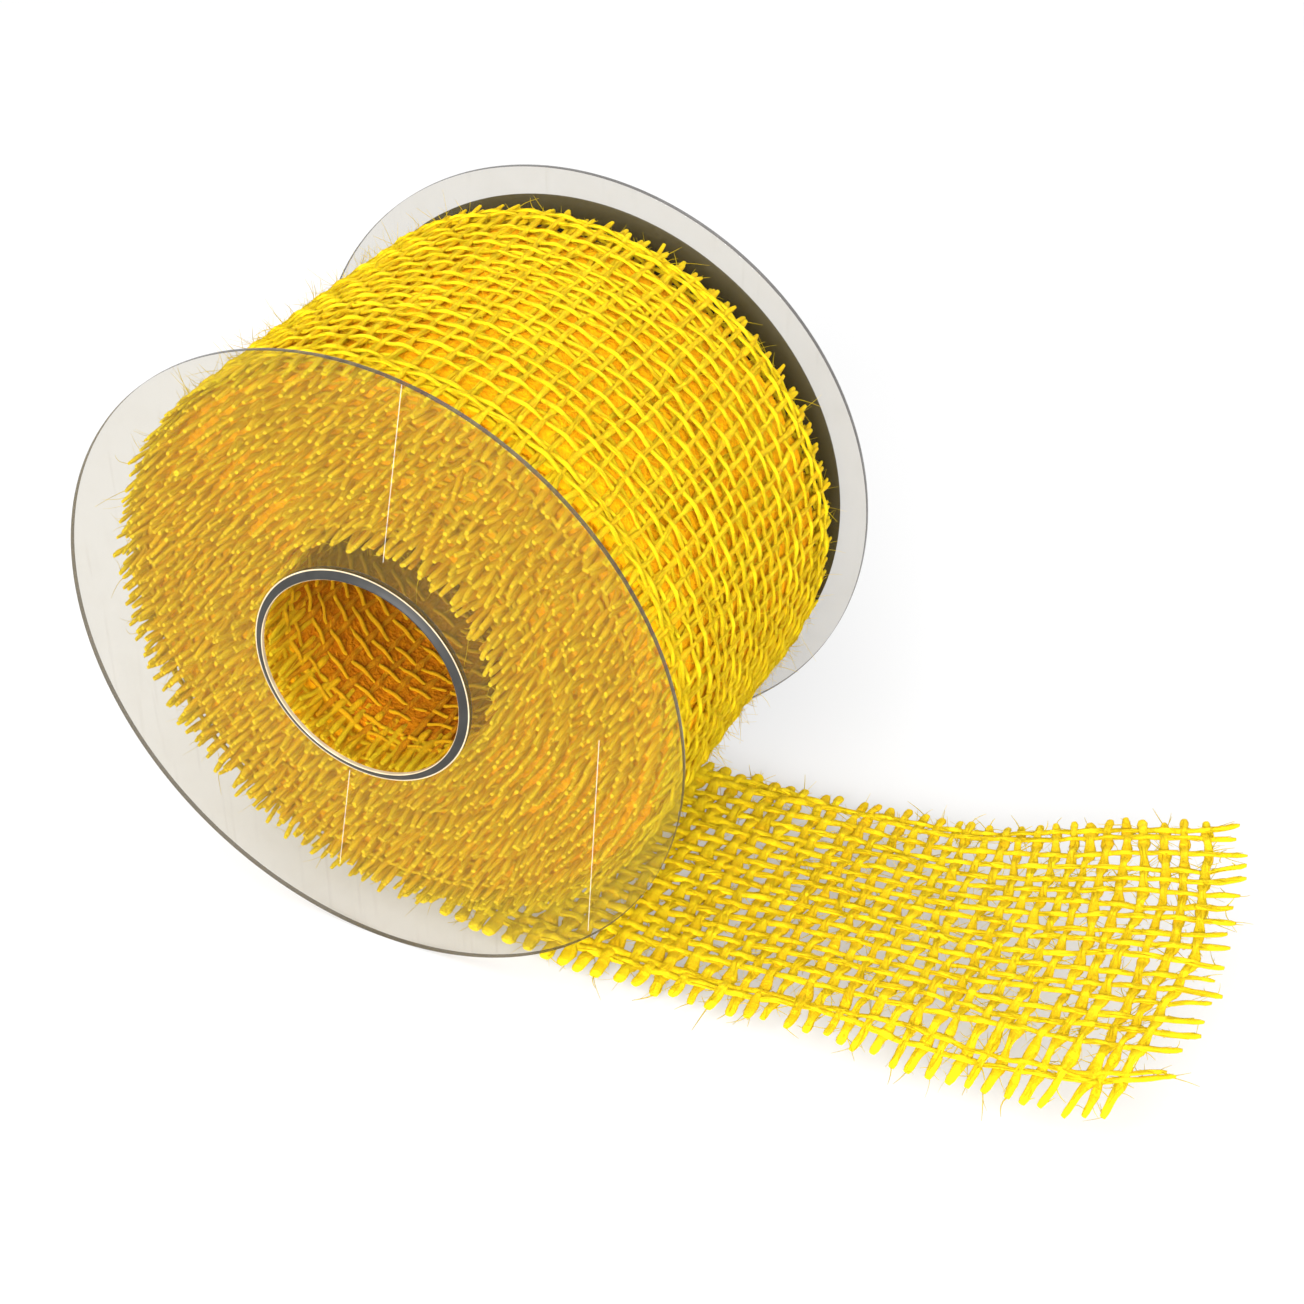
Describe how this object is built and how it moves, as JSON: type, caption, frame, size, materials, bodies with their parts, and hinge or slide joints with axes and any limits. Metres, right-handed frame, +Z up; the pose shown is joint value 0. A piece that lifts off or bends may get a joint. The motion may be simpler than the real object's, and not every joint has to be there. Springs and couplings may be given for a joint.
{
  "type": "ribbon spool",
  "caption": "Spool of yellow open-weave jute ribbon between two clear plastic discs on a clear core, with a loose fringed end lying in front.",
  "frame": {"origin": "middle of the object's footprint, on the surface that the discs and the loose end stand on", "axes": "+X towards the loose ribbon end, +Y along the spool's axis from the near disc to the labelled one, +Z up"},
  "size_m": [0.15, 0.061, 0.088],
  "materials": {
    "clear_plastic": "clear, thin, glossy sheet",
    "grey_plastic": "smooth satin",
    "label_paper": "dark printed paper",
    "clear_tape": "clear adhesive film",
    "jute_ribbon": "dyed coarse jute yarn, plain open weave"
  },
  "bodies": {
    "tail": {"ribbon_tail": "jute_ribbon"},
    "spool": {"core_tube": "clear_plastic", "front_flange": "clear_plastic", "rear_flange": "clear_plastic", "front_collar": "grey_plastic", "rear_collar": "grey_plastic", "rear_label": "label_paper", "start_tape": "clear_tape", "ribbon_roll": "jute_ribbon"},
    "ribbon_end": {"ribbon_end": "jute_ribbon"}
  },
  "joints": [
    {"name": "spool_turn", "type": "hinge", "parent": "tail", "child": "spool", "pos_m": [-0.031, 0, 0.044], "axis": [0, -1, 0], "continuous": true},
    {"name": "end_lift", "type": "hinge", "parent": "tail", "child": "ribbon_end", "pos_m": [0.029, 0, 0.00437], "axis": [0, -1, 0], "range_deg": [0, 75]}
  ]
}
